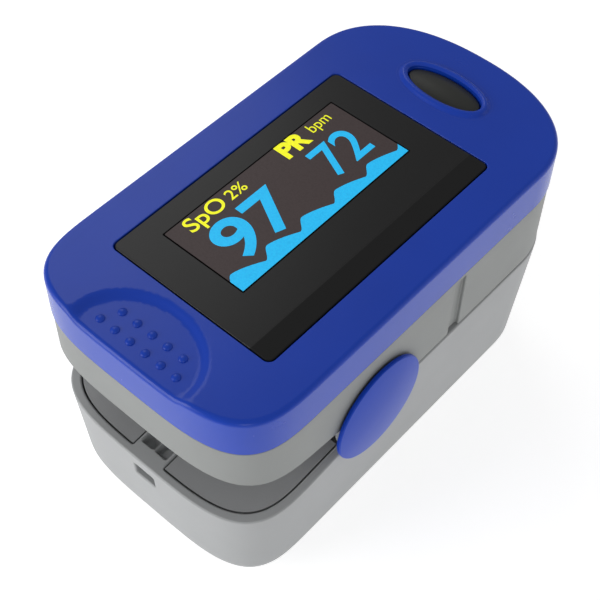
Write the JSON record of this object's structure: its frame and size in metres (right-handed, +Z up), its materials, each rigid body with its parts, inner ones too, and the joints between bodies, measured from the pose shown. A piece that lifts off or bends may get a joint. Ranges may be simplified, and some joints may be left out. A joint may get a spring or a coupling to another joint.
{
  "type": "fingertip pulse oximeter",
  "caption": "Spring-clip fingertip pulse oximeter: hinged shells round a padded finger channel, display lid with an oval power button, sliding cell cover underneath.",
  "frame": {"origin": "bottom centre of the whole object's box, on the surface it rests on", "axes": "+Z up, +X along the length towards the finger entrance, +Y towards the left side when looking from the squeeze end to the finger entrance"},
  "size_m": [0.058, 0.034, 0.0343],
  "materials": {
    "blue_plastic": "deep blue moulded ABS, satin gloss",
    "black_window": "black-printed acrylic window, glossy",
    "display_glass": "display glass, brown-grey when lit",
    "white_plastic": "white moulded plastic, matt",
    "polyimide": "amber flexible circuit film",
    "circuit_board": "green solder mask on glass fibre board",
    "chip_black": "black moulded chip package",
    "plated_steel": "nickel-plated steel",
    "spring_steel": "bright drawn spring wire",
    "screw_steel": "black zinc-plated screw",
    "black_button": "black satin button",
    "light_grey_plastic": "light grey moulded ABS, fine satin texture",
    "dark_grey_plastic": "dark grey moulded ABS, matt",
    "silicone": "dark grey silicone rubber, matt",
    "clear_lens": "clear moulded lens",
    "cell_wrap": "foil-wrapped cell"
  },
  "bodies": {
    "lower_body": {"lower_shell": "light_grey_plastic", "lower_frame": "dark_grey_plastic", "lower_finger_pad": "silicone", "sensor_board": "circuit_board", "photodiode": "chip_black", "photodiode_lens": "clear_lens", "hinge_pin_left": "plated_steel", "hinge_pin_right": "plated_steel", "side_cap_left": "blue_plastic", "side_cap_right": "blue_plastic", "torsion_spring_left": "spring_steel", "torsion_spring_right": "spring_steel", "flex_cable": "polyimide", "battery_1": "cell_wrap", "battery_2": "cell_wrap", "contact_bridge": "plated_steel", "negative_contact": "plated_steel", "positive_contact": "plated_steel", "lower_screw_1": "screw_steel", "lower_screw_2": "screw_steel", "lower_screw_3": "screw_steel", "lower_screw_4": "screw_steel"},
    "upper_jaw": {"top_cover": "blue_plastic", "display_window": "black_window", "display_panel": "display_glass", "display_bracket": "white_plastic", "display_ribbon": "polyimide", "main_board": "circuit_board", "processor_chip": "chip_black", "amplifier_chip": "chip_black", "cable_socket": "white_plastic", "button_switch": "plated_steel", "upper_shell": "light_grey_plastic", "upper_frame": "dark_grey_plastic", "upper_finger_pad": "silicone", "emitter_lens": "clear_lens", "led_emitter": "white_plastic", "upper_screw_1": "screw_steel", "upper_screw_2": "screw_steel", "upper_screw_3": "screw_steel"},
    "power_button": {"power_button": "black_button"},
    "battery_cover": {"battery_cover": "light_grey_plastic"}
  },
  "joints": [
    {"name": "jaw_hinge", "type": "hinge", "parent": "lower_body", "child": "upper_jaw", "pos_m": [-0.0088, 0, 0.0193], "axis": [0, -1, 0], "range_deg": [0, 16], "stiffness_Nm_per_rad": 0.12, "springref_deg": -22.92, "deforming": ["torsion_spring_left", "torsion_spring_right", "flex_cable"]},
    {"name": "button_press", "type": "slide", "parent": "upper_jaw", "child": "power_button", "axis": [0, 0, -1], "range_m": [0, 0.0004], "stiffness_N_per_m": 3000, "springref_m": -0.0002},
    {"name": "cover_slide", "type": "slide", "parent": "lower_body", "child": "battery_cover", "axis": [1, 0, 0], "range_m": [0, 0.048]}
  ]
}
